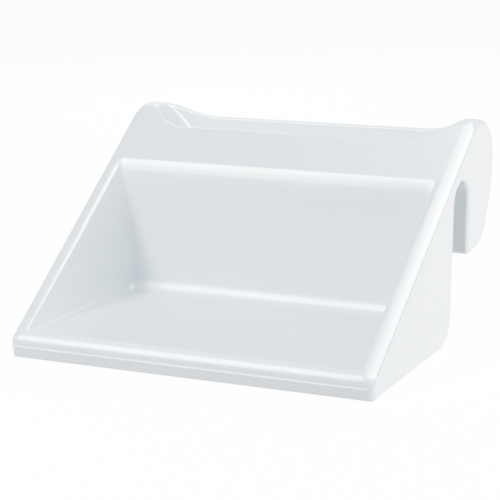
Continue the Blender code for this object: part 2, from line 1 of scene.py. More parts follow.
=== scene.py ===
# %% [markdown]
# A balcony table is one large plastic moulding that hooks over a railing. It has a sunken tabletop between
# two slanted cheeks, a planter trough along its head, and a flap behind that hangs outside the railing.
# Two clamp screws in the flap press rubber pads against the railing.
#
# The engineering model already holds every piece at its real size and place. This lesson dresses it: each
# piece is modelled again with finer curves and given the finish of its real material.

import math

import bmesh
import bpy
import numpy as np
from mathutils import Matrix, Vector


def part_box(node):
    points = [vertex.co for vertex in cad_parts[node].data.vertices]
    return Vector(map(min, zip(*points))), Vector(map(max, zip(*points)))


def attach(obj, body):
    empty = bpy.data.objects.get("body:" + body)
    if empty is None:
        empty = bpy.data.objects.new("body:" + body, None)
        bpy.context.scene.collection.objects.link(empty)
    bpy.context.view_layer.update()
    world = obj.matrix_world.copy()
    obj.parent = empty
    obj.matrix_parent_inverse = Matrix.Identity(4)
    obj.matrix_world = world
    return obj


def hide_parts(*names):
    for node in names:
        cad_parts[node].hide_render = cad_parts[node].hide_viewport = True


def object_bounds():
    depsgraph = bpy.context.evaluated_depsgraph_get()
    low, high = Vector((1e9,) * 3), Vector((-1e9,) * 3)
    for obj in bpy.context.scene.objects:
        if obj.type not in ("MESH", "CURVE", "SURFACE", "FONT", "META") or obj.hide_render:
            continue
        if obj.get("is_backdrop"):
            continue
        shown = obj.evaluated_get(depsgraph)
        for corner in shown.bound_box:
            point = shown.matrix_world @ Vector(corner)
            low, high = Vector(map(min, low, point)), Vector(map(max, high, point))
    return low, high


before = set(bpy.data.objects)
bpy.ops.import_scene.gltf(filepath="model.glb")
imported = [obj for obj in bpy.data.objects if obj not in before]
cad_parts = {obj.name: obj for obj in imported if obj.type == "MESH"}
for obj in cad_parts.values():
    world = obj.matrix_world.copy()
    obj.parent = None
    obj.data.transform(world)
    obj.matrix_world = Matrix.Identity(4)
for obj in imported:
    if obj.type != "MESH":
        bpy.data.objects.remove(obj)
cad_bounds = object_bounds()
body_low, body_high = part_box("table_body")
print("moulding in mm:", [round(1000 * size) for size in body_high - body_low])

# %% [markdown]
# Every finished piece goes through the same last steps: its mesh becomes an object, round surfaces are
# shaded smooth while real edges stay crisp, the plain piece it stands for is hidden, and it is hung under
# an empty for the body that carries it. Weighted normals are used because large flat faces meet small
# roundings here.
# Without them the smooth shading of a rounding would bleed over the flat face beside it.

# %% Hand a finished piece to the frame
CREASE_DEGREES = 30.0


def finish_piece(name, mesh, material, node, body):
    """Makes an object of a mesh that is already in place, and lets it stand for a node of the frame."""
    mesh.shade_smooth()
    mesh.set_sharp_from_angle(angle=math.radians(CREASE_DEGREES))
    mesh.materials.clear()
    mesh.materials.append(material)
    piece = bpy.data.objects.new(name, mesh)
    bpy.context.scene.collection.objects.link(piece)
    flat = piece.modifiers.new("flat faces stay flat", "WEIGHTED_NORMAL")
    flat.keep_sharp = True
    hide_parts(node)
    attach(piece, body)
    print(name, "has", len(mesh.polygons), "faces")


def mesh_from(bm, name):
    bmesh.ops.recalc_face_normals(bm, faces=bm.faces)
    mesh = bpy.data.meshes.new(name)
    bm.to_mesh(mesh)
    bm.free()
    return mesh


# %% [markdown]
# The side view is the moulding's main drawing. It is a polygon of ten corners, written in metres back from
# the front edge and up from the underside. The straight lines come from how the table is used: a flat
# underside, a slanted front that a seated person leans over, a slot for the railing and a flap behind it.

# %% Sizes of the side view
WIDTH = body_high.x - body_low.x
DEPTH = body_high.y - body_low.y
SLOPE = math.radians(35.3)
LIP_HEIGHT = 0.032
FRONT_SETBACK = 0.004
HEAD_RADIUS = 0.074
KNEE_HEIGHT = 0.2165
KNEE_LEAN = math.radians(24.0)
FLAP_TAPER_LENGTH = 0.098
TIP_SLOPE = math.radians(5.0)
SLOT_FRONT = 0.3285
SLOT_REAR = 0.3995
SLOT_HEIGHT = -body_low.z
PARTING_DEPTH = 0.0092
OUTER_DRAFT = math.radians(2.0)

HALF_WIDTH = WIDTH / 2
SLOPE_OUT = np.array([-math.sin(SLOPE), math.cos(SLOPE)])
SLOPE_ALONG = np.array([math.cos(SLOPE), math.sin(SLOPE)])
CREASE_HEIGHT = LIP_HEIGHT - PARTING_DEPTH / math.cos(SLOPE)
HEAD_Y = DEPTH - HEAD_RADIUS
HEAD_Z = LIP_HEIGHT + HEAD_Y * math.tan(SLOPE) - HEAD_RADIUS / math.cos(SLOPE)
HEIGHT = HEAD_Z + HEAD_RADIUS


def slope_height(y):
    return LIP_HEIGHT + y * math.tan(SLOPE)


def depth_below_slope(y, z):
    return math.sin(SLOPE) * y - math.cos(SLOPE) * (z - LIP_HEIGHT)


CURL_Y = DEPTH - FLAP_TAPER_LENGTH * math.sin(KNEE_LEAN)
CURL_Z = KNEE_HEIGHT - FLAP_TAPER_LENGTH * math.cos(KNEE_LEAN)
SIDE_VIEW = {
    "toe": (FRONT_SETBACK, 0.0),
    "crease": (0.0, CREASE_HEIGHT),
    "lip": (0.0, LIP_HEIGHT),
    "head": (DEPTH, slope_height(DEPTH)),
    "knee": (DEPTH, KNEE_HEIGHT),
    "curl": (CURL_Y, CURL_Z),
    "tip": (SLOT_REAR, CURL_Z - (CURL_Y - SLOT_REAR) * math.tan(TIP_SLOPE)),
    "slot_rear": (SLOT_REAR, SLOT_HEIGHT),
    "slot_front": (SLOT_FRONT, SLOT_HEIGHT),
    "heel": (SLOT_FRONT, 0.0),
}
NAMES = list(SIDE_VIEW)
FRONT_NAMES = NAMES[:3]
REAR_NAMES = NAMES[4:]
print("the side view is", round(1000 * DEPTH), "mm deep and", round(1000 * HEIGHT), "mm high")

# %% [markdown]
# Rotational moulding can't make sharp corners, because the powder that melts inside the hot mould has to
# flow into them. So each corner is rounded. The arc is written as a conic, a curve that is an exact circle
# at any corner and still behaves where a corner is nearly straight. That suits a part whose corners run
# from very tight to almost flat. The same helper also makes uneven curves, such as the crest over the bay.

# %% Round a corner
CORNER_RADII = {
    "toe": 0.004, "crease": 0.0, "lip": 0.020, "knee": 0.190, "curl": 0.085, "tip": 0.009,
    "slot_rear": 0.0348, "slot_front": 0.0348, "heel": 0.042,
}
CORNER_STEPS = 14
SIDE_SHARE = 0.48
ARCH_SHARE = 0.495
KNEE_SHARE = 0.95
LIP_SHARE = 0.85
LEAST_SHARE = 0.05
LEAST_RADIUS = 0.0003


def conic(start, corner, end, weight, steps):
    """Points of the curve that leaves one end towards a corner and reaches the other end from it."""
    points = []
    for step in range(steps + 1):
        u = step / steps
        a, b, c = (1 - u) ** 2, 2 * u * (1 - u) * weight, u ** 2
        points.append((a * start + b * corner + c * end) / (a + b + c))
    return points


def corner_arc(before, corner, after, radius, steps, share_before=SIDE_SHARE, share_after=SIDE_SHARE):
    """Points of the arc that rounds a corner, no longer than a share of the lines beside it."""
    back, ahead = before - corner, after - corner
    length_back, length_ahead = np.linalg.norm(back), np.linalg.norm(ahead)
    cosine = float(np.dot(back, ahead)) / (length_back * length_ahead)
    half_angle = math.acos(min(max(cosine, -1.0), 1.0)) / 2
    weight = math.sin(half_angle)
    reach = max(radius / math.tan(half_angle), LEAST_SHARE * min(length_back, length_ahead))
    reach = min(reach, share_before * length_back, share_after * length_ahead)
    start, end = corner + back / length_back * reach, corner + ahead / length_ahead * reach
    return conic(start, corner, end, weight, steps)


def inset_corners(insets):
    """The side view's corners after each line has moved into the material by its own inset."""
    points = [np.array(SIDE_VIEW[name]) for name in NAMES]
    lines = []
    for index, name in enumerate(NAMES):
        direction = points[(index + 1) % len(points)] - points[index]
        direction = direction / np.linalg.norm(direction)
        inward = np.array([direction[1], -direction[0]])
        lines.append((points[index] + inward * insets[name], direction))
    moved = {}
    for index, name in enumerate(NAMES):
        (a, u), (b, v) = lines[index - 1], lines[index]
        along = ((b[0] - a[0]) * v[1] - (b[1] - a[1]) * v[0]) / (u[0] * v[1] - u[1] * v[0])
        moved[name] = a + u * along
    return moved


def outline_arcs(insets):
    """The rounded corners of the side view, keyed by corner. The head is made by a path of its own."""
    corners = inset_corners(insets)
    head_back = np.array([corners["knee"][0], HEAD_Z])
    arcs = {"crease": [corners["crease"]]}
    for index, name in enumerate(NAMES):
        if name in ("head", "crease"):
            continue
        before, after = corners[NAMES[index - 1]], corners[NAMES[(index + 1) % len(NAMES)]]
        inset = (insets[NAMES[index - 1]] + insets[name]) / 2
        corner, radius = corners[name], CORNER_RADII[name]
        if name == "knee":
            arcs[name] = corner_arc(head_back, corner, after, radius - inset, CORNER_STEPS, KNEE_SHARE)
        elif name == "lip":
            arcs[name] = corner_arc(before, corner, after, radius - inset, CORNER_STEPS, LIP_SHARE)
        elif name.startswith("slot"):
            radius += inset
            arcs[name] = corner_arc(before, corner, after, radius, CORNER_STEPS, ARCH_SHARE, ARCH_SHARE)
        else:
            radius = max(radius - inset, LEAST_RADIUS)
            arcs[name] = corner_arc(before, corner, after, radius, CORNER_STEPS)
    return arcs


NO_INSETS = dict.fromkeys(NAMES, 0.0)
arch_start = outline_arcs(NO_INSETS)["slot_rear"][0]
print("the slot's arch starts at", [round(1000 * value) for value in arch_start])

# %% [markdown]
# The tabletop is a bay let into the slanted front. Seen from the side, its path runs from the front rim
# down a short wall, back along the floor, up the back wall, and over a large rounded crest. Each point of
# that path is also carried square up to the slanted plane, because that is where the cheeks start.

# %% The bay
CHEEK_THICKNESS = 0.0254
CHEEK_DRAFT = math.tan(math.radians(5.3))
BAY_FRONT = 0.015
BAY_FRONT_LEAN = math.tan(math.radians(14.0))
BAY_BACK = 0.306
FLOOR_HEIGHT = 0.039
BAY_LIP_RADIUS = 0.0016
BAY_TOE_RADIUS = 0.002
BAY_FRONT_STEPS = 4
BAY_BACK_RADIUS = 0.024
BAY_BACK_STEPS = 14
CREST_DROP = 0.038
CREST_REACH = 0.014
CREST_WEIGHT = 0.6
CREST_STEPS = 18
CHEEK_RIM_RADIUS = 0.006
CHEEK_FOOT_RADIUS = 0.014
LEAST_POINT_SPACING = 0.0005


def bay_lines():
    """For each point of the bay's path: its place on the slope, the point, and its depth below it."""
    length = BAY_BACK - BAY_FRONT
    rim = np.array([BAY_FRONT, slope_height(BAY_FRONT)])
    toe = np.array([BAY_FRONT + (rim[1] - FLOOR_HEIGHT) * BAY_FRONT_LEAN, FLOOR_HEIGHT])
    heel = np.array([BAY_BACK, FLOOR_HEIGHT])
    crest = np.array([BAY_BACK, slope_height(BAY_BACK)])
    path = corner_arc(rim - SLOPE_ALONG * length, rim, toe, BAY_LIP_RADIUS, BAY_FRONT_STEPS)
    path += corner_arc(rim, toe, heel, BAY_TOE_RADIUS, BAY_FRONT_STEPS)
    path += corner_arc(toe, heel, crest, BAY_BACK_RADIUS, BAY_BACK_STEPS)
    crest_foot = crest - np.array([0.0, CREST_DROP])
    path += conic(crest_foot, crest, crest + SLOPE_ALONG * CREST_REACH, CREST_WEIGHT, CREST_STEPS)
    lines = []
    last_along = -math.inf
    for point in path:
        depth = max(depth_below_slope(*point), 0.0)
        top = point + SLOPE_OUT * depth
        along = float(np.dot(top, SLOPE_ALONG))
        kept_along = max(along, last_along + LEAST_POINT_SPACING)
        lines.append((top + SLOPE_ALONG * (kept_along - along), point, depth))
        last_along = kept_along
    return lines


RIM_STEPS = 8
FOOT_STEPS = 8
FLOOR_RINGS = 6
RING_SPACING = 0.008


def cheek_stations(depth):
    """Where the rings cross a cheek's inner face of some depth: rounded rim, drafted wall, rounded foot."""
    edge = HALF_WIDTH - CHEEK_THICKNESS
    rim_drop = min(CHEEK_RIM_RADIUS, depth / 2)
    foot_rise = min(CHEEK_FOOT_RADIUS, depth / 2)
    stations = []
    for step in range(RIM_STEPS + 1):
        turn = math.pi / 2 * step / RIM_STEPS
        drop = rim_drop * (1 - math.cos(turn))
        stations.append((edge + CHEEK_RIM_RADIUS * (1 - math.sin(turn)) - CHEEK_DRAFT * drop, drop))
    foot_edge = edge - CHEEK_DRAFT * (depth - foot_rise) - LEAST_RADIUS
    for step in range(FOOT_STEPS + 1):
        turn = math.pi / 2 * step / FOOT_STEPS
        x = foot_edge - CHEEK_FOOT_RADIUS * (1 - math.cos(turn))
        stations.append((x, depth - foot_rise * (1 - math.sin(turn))))
    for step in range(1, FLOOR_RINGS + 1):
        stations.append((foot_edge - CHEEK_FOOT_RADIUS - RING_SPACING * step, depth))
    return stations


deepest = max(depth for _, _, depth in bay_lines())
print("the bay is", round(1000 * deepest), "mm deep, square to the slope")

# %% [markdown]
# The head is a thick round bar seen from the side. Its middle is lowered to a saddle that sweeps up at
# both ends, and a trough for herbs is sunk between a front and a rear rim. A separate box cut out of the
# bar would leave hard corners, so the path over the head is worked out again for every place across the
# width. The sweep is two arcs: one lifts both rims from the saddle, and the other rounds them into the top.
# Beyond it a crown lets the path run into the head's own circle.

# %% The head and its trough
SADDLE_HEIGHT = 0.3005
SCOOP_START = 0.191
SCOOP_RADIUS = 0.110
SCOOP_TOP_RADIUS = 0.060
TROUGH_DEPTH = 0.030
TROUGH_END_START = 0.222
TROUGH_END_LENGTH = 0.044
RIM_FRONT = 0.007
RIM_FRONT_SHARE = 0.3
RIM_REAR = 0.014
RIM_REAR_SHARE = 0.4
TROUGH_DRAFT = 0.003
TROUGH_DRAFT_SHARE = 0.1
TROUGH_FLOOR_RADIUS = 0.010
TROUGH_RIM_RADIUS = 0.003
HEAD_MARGIN = 0.001
CROWN_START = 0.266
CROWN_LENGTH = 0.015
BROW_LENGTH = 0.010
BROW_STEPS = 8
BACK_STEPS = 18
TROUGH_STEPS = 7


def smoothstep(value):
    share = min(max(value, 0.0), 1.0)
    return share * share * (3.0 - 2.0 * share)


def head_point(radius, angle):
    return np.array([HEAD_Y + radius * math.cos(angle), HEAD_Z + radius * math.sin(angle)])


def brow_point(along, inset):
    """A point of the slope and the head's front arc, by its distance past the place where they meet."""
    radius = HEAD_RADIUS - inset
    if along > 0:
        return head_point(radius, math.pi / 2 + SLOPE - along / radius)
    return head_point(radius, math.pi / 2 + SLOPE) + along * SLOPE_ALONG


def brow_distance(z, inset):
    """Where the slope and the head's front arc reach a height, as a distance past their meeting."""
    radius = HEAD_RADIUS - inset
    meeting_z = HEAD_Z + radius * math.cos(SLOPE)
    if z <= meeting_z:
        return (z - meeting_z) / math.sin(SLOPE)
    return radius * (SLOPE - math.acos((z - HEAD_Z) / radius))


def rim_height(x, inset):
    """The rims' height at x: an arc sweeps up from the saddle, and another rounds it into the top."""
    rise = HEIGHT - HEAD_MARGIN - SADDLE_HEIGHT
    both = SCOOP_RADIUS + SCOOP_TOP_RADIUS
    turn = math.acos(1 - rise / both)
    beyond = min(max(abs(x) - SCOOP_START, 0.0), both * math.sin(turn))
    if beyond < SCOOP_RADIUS * math.sin(turn):
        return SADDLE_HEIGHT + SCOOP_RADIUS - math.sqrt(SCOOP_RADIUS ** 2 - beyond ** 2) - inset
    short = both * math.sin(turn) - beyond
    return HEIGHT - HEAD_MARGIN - SCOOP_TOP_RADIUS + math.sqrt(SCOOP_TOP_RADIUS ** 2 - short ** 2) - inset


def head_path(x, inset):
    """Points over the head at x: its brow, the front rim, the trough, the rear rim and the head's back."""
    rim_z = rim_height(x, inset)
    radius = HEAD_RADIUS - inset
    rim_along = brow_distance(rim_z, inset)
    start = min(0.0, rim_along - BROW_LENGTH)
    length = rim_along - start
    brow = [brow_point(start + length * step / BROW_STEPS, inset) for step in range(BROW_STEPS)]
    outer_front = brow_point(rim_along, inset)
    outer_rear = np.array([HEAD_Y + math.sqrt(radius ** 2 - (rim_z - HEAD_Z) ** 2), rim_z])
    span = outer_rear[0] - outer_front[0]
    open_share = 1.0 - smoothstep((abs(x) - TROUGH_END_START) / TROUGH_END_LENGTH)
    floor = rim_z - TROUGH_DEPTH * open_share
    draft = min(TROUGH_DRAFT, TROUGH_DRAFT_SHARE * span)
    inner_front = np.array([outer_front[0] + min(RIM_FRONT, RIM_FRONT_SHARE * span), rim_z])
    inner_rear = np.array([outer_rear[0] - min(RIM_REAR, RIM_REAR_SHARE * span), rim_z])
    floor_front = np.array([inner_front[0] + draft, floor])
    floor_rear = np.array([inner_rear[0] - draft, floor])
    angle = math.atan2(rim_z - HEAD_Z, outer_rear[0] - HEAD_Y)
    back = [head_point(radius, angle * (1 - step / BACK_STEPS)) for step in range(1, BACK_STEPS + 1)]
    corners = [brow[-1], outer_front, inner_front, floor_front, floor_rear, inner_rear, outer_rear, back[0]]
    radii = [TROUGH_RIM_RADIUS] * 2 + [TROUGH_FLOOR_RADIUS] * 2 + [TROUGH_RIM_RADIUS] * 2
    path = []
    for before, corner, after, corner_radius in zip(corners, corners[1:], corners[2:], radii):
        path += corner_arc(before, corner, after, corner_radius, TROUGH_STEPS)
    crown = smoothstep((abs(x) - CROWN_START) / CROWN_LENGTH)
    if crown > 0:
        tops = [HEAD_Z + math.sqrt(radius ** 2 - (y - HEAD_Y) ** 2) for y, _ in path]
        path = [np.array([y, z + crown * (top - z)]) for (y, z), top in zip(path, tops)]
    return brow + path + back


print("a path over the head has", len(head_path(0.0, 0.0)), "points")

# %% [markdown]
# Now the paths are joined into closed rings, one for each place across the width. The first rings shrink
# the side view towards the cheek's outer face, which rounds its edge. Most edges are a quarter of a circle.
# The cheeks' slanted rims are a broad shoulder instead: their arc stops short of a quarter turn at the
# mould's parting line, where the other half of the mould takes over.

# %% Rings along the rounded edges
ROUNDINGS = {
    "toe": (0.012, 90.0), "crease": (0.012, 90.0), "lip": (0.024, 51.9), "head": (0.006, 90.0),
    "knee": (0.0055, 90.0), "curl": (0.0055, 90.0), "tip": (0.006, 90.0), "slot_rear": (0.0055, 90.0),
    "slot_front": (0.004, 90.0), "heel": (0.004, 90.0),
}
EDGE_STEPS = 12
SHOULDER_FADE = 0.042


def rounding(name, share):
    """How far a rounding has come across the width and into the material, at a share of its turn."""
    radius, degrees = ROUNDINGS[name]
    full = math.radians(degrees)
    angle = full * (1 - share)
    return radius * (math.sin(full) - math.sin(angle)), radius * (1 - math.cos(angle))


def edge_ring(share):
    """A ring beside a cheek's outer face, at a share of the roundings' turn."""
    moves = {name: rounding(name, share) for name in NAMES}
    corners = {}
    for name, arc in outline_arcs({name: inset for name, (_, inset) in moves.items()}).items():
        before, after = moves[NAMES[NAMES.index(name) - 1]][0], moves[name][0]
        corners[name] = [
            (HALF_WIDTH - before - (after - before) * part, *point)
            for part, point in zip(np.linspace(0.0, 1.0, len(arc)), arc)
        ]
    (rim_across, rim_inset), (back_across, back_inset) = moves["lip"], moves["head"]
    ring = [point for name in FRONT_NAMES for point in corners[name]]
    ring += [(HALF_WIDTH - rim_across, *(line[0] - SLOPE_OUT * rim_inset)) for line in bay_lines()]
    for rim_point, back_point in zip(head_path(HALF_WIDTH, rim_inset), head_path(HALF_WIDTH, back_inset)):
        part = smoothstep(depth_below_slope(*rim_point) / SHOULDER_FADE)
        across = rim_across + (back_across - rim_across) * part
        ring.append((HALF_WIDTH - across, *(rim_point + (back_point - rim_point) * part)))
    ring += [point for name in REAR_NAMES for point in corners[name]]
    return ring


print("the shoulder is", round(1000 * rounding("lip", 1.0)[0], 1), "mm wide")

# %% [markdown]
# The next rings climb over the cheek's inner rim and down its inner face while, at the head, they step
# through the sweep of the saddle. So one set of rings serves both, and the grid stays whole.

# %% Rings across the width
def inner_rings():
    """Rings from a cheek's rim to the middle stretch of the table."""
    arcs = outline_arcs(NO_INSETS)
    flat = cheek_stations(0.0)
    outermost = HALF_WIDTH - rounding("lip", 1.0)[0] - RING_SPACING / 4
    innermost = SCOOP_START - RING_SPACING / 2
    bay = bay_lines()
    rings = []
    for index, (flat_x, _) in enumerate(flat):
        head_x = outermost + (innermost - outermost) * index / (len(flat) - 1)
        ring = [(flat_x, *point) for name in FRONT_NAMES for point in arcs[name]]
        for top, point, depth in bay:
            x, drop = cheek_stations(depth)[index]
            share_down = drop / depth if depth > 0 else 1.0
            ring.append((x, *(top + (point - top) * share_down)))
        ring += [(head_x, *point) for point in head_path(head_x, 0.0)]
        ring += [(head_x, *point) for name in REAR_NAMES for point in arcs[name]]
        rings.append(ring)
    return rings


half = [edge_ring(step / EDGE_STEPS) for step in range(EDGE_STEPS + 1)] + inner_rings()
rings = half + [[(-x, y, z) for x, y, z in ring] for ring in reversed(half)]
print(len(rings), "rings of", len(rings[0]), "points")

# %% [markdown]
# A plain grid is bent over the rings: its columns follow them across the width and its rows run round the
# side view. The last row meets the first, so the two are merged and the skin becomes a tube. Its open ends
# are filled with one face each, the cheeks' flat outer sides.

# %% Bend a grid into the moulding
MERGE_DISTANCE = 0.00001


def bend_grid(rings):
    rows, columns = len(rings[0]), len(rings)
    bm = bmesh.new()
    bmesh.ops.create_grid(bm, x_segments=columns - 1, y_segments=rows, size=HALF_WIDTH)
    for index, vert in enumerate(bm.verts):
        vert.co = rings[index % columns][index // columns % rows]
    bmesh.ops.remove_doubles(bm, verts=bm.verts, dist=MERGE_DISTANCE)
    ends = [edge for edge in bm.edges if edge.is_boundary]
    bmesh.ops.holes_fill(bm, edges=ends, sides=0)
    bmesh.ops.recalc_face_normals(bm, faces=bm.faces)
    return bm


moulding = bend_grid(rings)
print("closed:", all(edge.is_manifold for edge in moulding.edges), "with", len(moulding.faces), "faces")

# %% [markdown]
# The mould opens along a plane just behind the slanted front, and the two halves never meet perfectly. The
# fine ridge that this leaves runs up both sides and along the front. Five cuts side by side make room for
# it, and pressing in the second and the fourth leaves the ridge standing between two shallow grooves.
# Behind the line the sides narrow a little. That draft lets the moulding slide out of its mould.

# %% The parting line and the draft
SEAM_LINES = (-2, -1, 0, 1, 2)
SEAM_SPACING = 0.0009
SEAM_DEPTH = 0.0012
SEAM_REGION = 0.012


def is_outside(element):
    """Whether a face, edge or vertex lies on the outer sides or on the front face."""
    verts = [element] if isinstance(element, bmesh.types.BMVert) else element.verts
    return all(abs(vert.co.x) > HALF_WIDTH - SEAM_REGION or vert.co.y < FRONT_SETBACK for vert in verts)


def cut_parallel(bm, depth):
    """Cuts the outer skin along a plane that lies a given depth behind the slanted front."""
    skin = [element for group in (bm.verts, bm.edges, bm.faces) for element in group if is_outside(element)]
    place = Vector((0.0, 0.0, LIP_HEIGHT - depth / math.cos(SLOPE)))
    normal = Vector((0.0, *SLOPE_OUT))
    bmesh.ops.bisect_plane(bm, geom=skin, plane_co=place, plane_no=normal, dist=MERGE_DISTANCE)


def below_parting(co):
    return depth_below_slope(co.y, co.z) - PARTING_DEPTH


for line in SEAM_LINES:
    cut_parallel(moulding, PARTING_DEPTH + line * SEAM_SPACING)
moulding.normal_update()
grooves = [
    vert for vert in moulding.verts
    if is_outside(vert) and abs(abs(below_parting(vert.co)) - SEAM_SPACING) < MERGE_DISTANCE
]
presses = [(vert, vert.normal * SEAM_DEPTH) for vert in grooves]
for vert, press in presses:
    vert.co -= press
for vert in moulding.verts:
    vert.co.x *= 1 - math.tan(OUTER_DRAFT) * max(below_parting(vert.co), 0.0) / HALF_WIDTH
bmesh.ops.translate(moulding, verts=moulding.verts, vec=(0.0, body_low.y, body_low.z))
moulding_mesh = mesh_from(moulding, "moulded_body")
print("the parting line's grooves have", len(grooves), "points")

# %% [markdown]
# The bores come last, as they would on the real part, where they are drilled or formed by pins. Each is a
# plain cylinder taken away with a Boolean. The exact solver is used because the cylinders' ends lie
# close to flat faces, where the quicker solver can leave slivers.

# %% Bores for the clamp screws and the vent
BORE_SEGMENTS = 64
RECESS_RADIUS = 0.0195
RECESS_DEPTH = 0.010
INSERT_RADIUS = 0.0087
INSERT_LENGTH = 0.020
TUNNEL_RADIUS = 0.0075
VENT_RADIUS = 0.006
VENT_DEPTH = 0.012
VENT_RECESS_RADIUS = 0.013
VENT_RECESS_DEPTH = 0.003
GAP = 0.0003
OVERRUN = 0.010
SIDES = ("left", "right")
FACING_RAIL = Matrix.Rotation(math.pi / 2, 4, "X")


def centre_of(node):
    low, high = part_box(node)
    return (low + high) / 2


def screw_place(side):
    """A matrix whose z axis runs along a clamp screw, from the flap's inner face towards the user."""
    middle = centre_of("clamp_stud_" + side)
    return Matrix.Translation((middle.x, SLOT_REAR + body_low.y, middle.z)) @ FACING_RAIL


def vent_place():
    middle = centre_of("vent_plug")
    return Matrix.Translation((middle.x, middle.y, body_low.z))


def cylinder(radius, low, high, place):
    bm = bmesh.new()
    bmesh.ops.create_cone(
        bm, cap_ends=True, segments=BORE_SEGMENTS, radius1=radius, radius2=radius, depth=high - low,
        matrix=place @ Matrix.Translation((0.0, 0.0, (low + high) / 2)),
    )
    return mesh_from(bm, "bore")


def combined(mesh, shapes, operation):
    """The mesh that is left after a Boolean with each of the shapes."""
    target = bpy.data.objects.new("target", mesh)
    bpy.context.scene.collection.objects.link(target)
    tools = []
    for shape in shapes:
        tool = bpy.data.objects.new("tool", shape)
        bpy.context.scene.collection.objects.link(tool)
        boolean = target.modifiers.new("boolean", "BOOLEAN")
        boolean.operation = operation
        boolean.solver = "EXACT"
        boolean.object = tool
        tools.append(tool)
    graph = bpy.context.evaluated_depsgraph_get()
    result = bpy.data.meshes.new_from_object(target.evaluated_get(graph))
    for used in [target, *tools]:
        bpy.data.objects.remove(used, do_unlink=True)
    return result


bores = []
for side in SIDES:
    place = screw_place(side)
    bores.append(cylinder(RECESS_RADIUS, -RECESS_DEPTH, OVERRUN, place))
    bores.append(cylinder(INSERT_RADIUS + GAP, -RECESS_DEPTH - INSERT_LENGTH, OVERRUN, place))
    bores.append(cylinder(TUNNEL_RADIUS, SLOT_REAR - DEPTH - OVERRUN, OVERRUN, place))
bores.append(cylinder(VENT_RECESS_RADIUS, -OVERRUN, VENT_RECESS_DEPTH, vent_place()))
bores.append(cylinder(VENT_RADIUS, -OVERRUN, VENT_DEPTH, vent_place()))
drilled_mesh = combined(moulding_mesh, bores, "DIFFERENCE")
print(len(bores), "bores cut, giving", len(drilled_mesh.polygons), "faces")

# %% [markdown]
# Polyethylene from a rotating mould has a satin skin with a fine grain like orange peel. The mould was
# blasted more coarsely inside the bay, so that scratches from cups and plates don't show. A value stored
# on each vertex tells the material how strong the grain is there, which follows the form without a map.
# The same value also sets how much painted shade darkens the colour: most in the bay, less in the trough.

# %% Mark where the skin is grained and darkened with painted shade
# Each value sets the grain's strength and also how much painted shade darkens the colour there.
BAY_GRAIN_AND_SHADE = 1.0
TROUGH_GRAIN_AND_SHADE = 0.6
SMOOTH_GRAIN_AND_SHADE = 0.35
BAY_MARGIN = 0.004


def grain_and_shade_at(co):
    y, z = co.y - body_low.y, co.z - body_low.z
    depth = depth_below_slope(y, z)
    between_cheeks = abs(co.x) < HALF_WIDTH - CHEEK_THICKNESS + CHEEK_RIM_RADIUS - BAY_MARGIN / 2
    if between_cheeks and BAY_MARGIN < depth and BAY_FRONT < y < BAY_BACK + BAY_MARGIN:
        return BAY_GRAIN_AND_SHADE
    between_ends = abs(co.x) < TROUGH_END_START + TROUGH_END_LENGTH
    above_floor = z > SADDLE_HEIGHT - TROUGH_DEPTH - GAP
    if between_ends and above_floor and y < HEAD_Y and depth > BAY_MARGIN * 2:
        return TROUGH_GRAIN_AND_SHADE
    return SMOOTH_GRAIN_AND_SHADE


grain_and_shade = drilled_mesh.attributes.new("grain_and_shade", "FLOAT", "POINT")
grain_and_shade.data.foreach_set("value", [grain_and_shade_at(vert.co) for vert in drilled_mesh.vertices])
print("grained vertices:", sum(1 for item in grain_and_shade.data if item.value == BAY_GRAIN_AND_SHADE))

# %% [markdown]
# A material starts from one helper that makes the shader and its coordinates. Object coordinates are in
# metres here, so a noise scale of 400 gives a pattern about 2.5 mm wide wherever it is used. The helpers
# keep the patterns small and named, and each finish below only says what is special about it. A Mix node
# holds sockets of the same name for every kind of data, so its colour sockets are picked by their number.

# %% Helpers for materials
MIX_COLOUR_A, MIX_COLOUR_B, MIX_RESULT = 6, 7, 2


